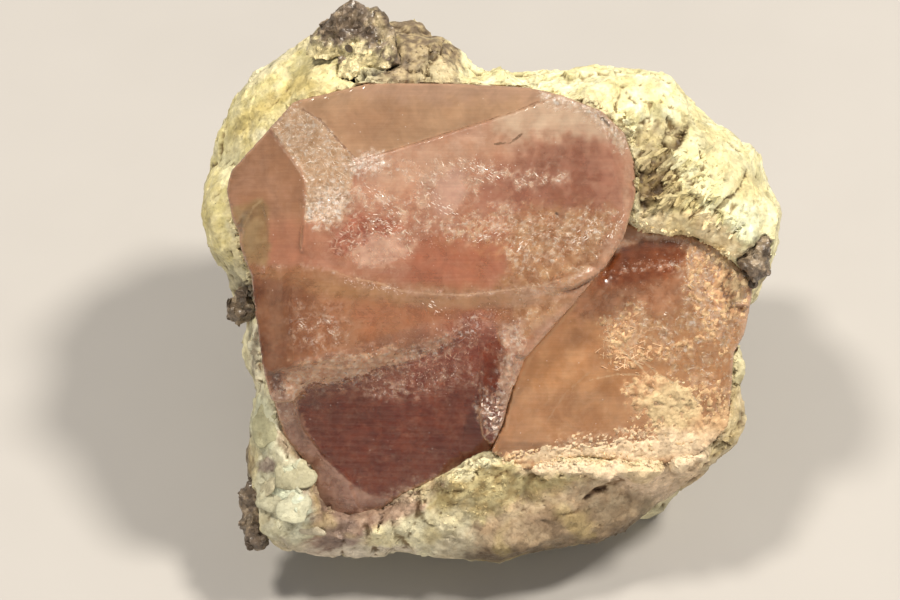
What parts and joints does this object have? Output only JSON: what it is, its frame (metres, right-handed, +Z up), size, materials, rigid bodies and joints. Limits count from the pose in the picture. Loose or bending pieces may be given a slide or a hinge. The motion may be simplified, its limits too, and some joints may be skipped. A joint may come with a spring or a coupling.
{
  "type": "morganite crystal specimen on matrix",
  "caption": "Two intergrown pink beryl crystals in cream albite matrix with grey mica, standing on a flat cut base.",
  "frame": {"origin": "middle of the flat cut base that the specimen stands on", "axes": "+Z up; the display face leans back and looks towards -Y and up; +X to the right of the display face"},
  "size_m": [0.104, 0.0896, 0.0858],
  "materials": {
    "albite": "rough cream albite, broken and bladed",
    "morganite": "translucent pink beryl, part smooth and part frosted",
    "lepidolite": "grey-brown mica books with a pearly sheen"
  },
  "bodies": {
    "root": {"matrix": "albite", "main_crystal": "morganite", "side_crystal": "morganite", "mica_top": "lepidolite", "mica_left": "lepidolite", "mica_lower_left": "lepidolite", "mica_right": "lepidolite"}
  },
  "joints": []
}
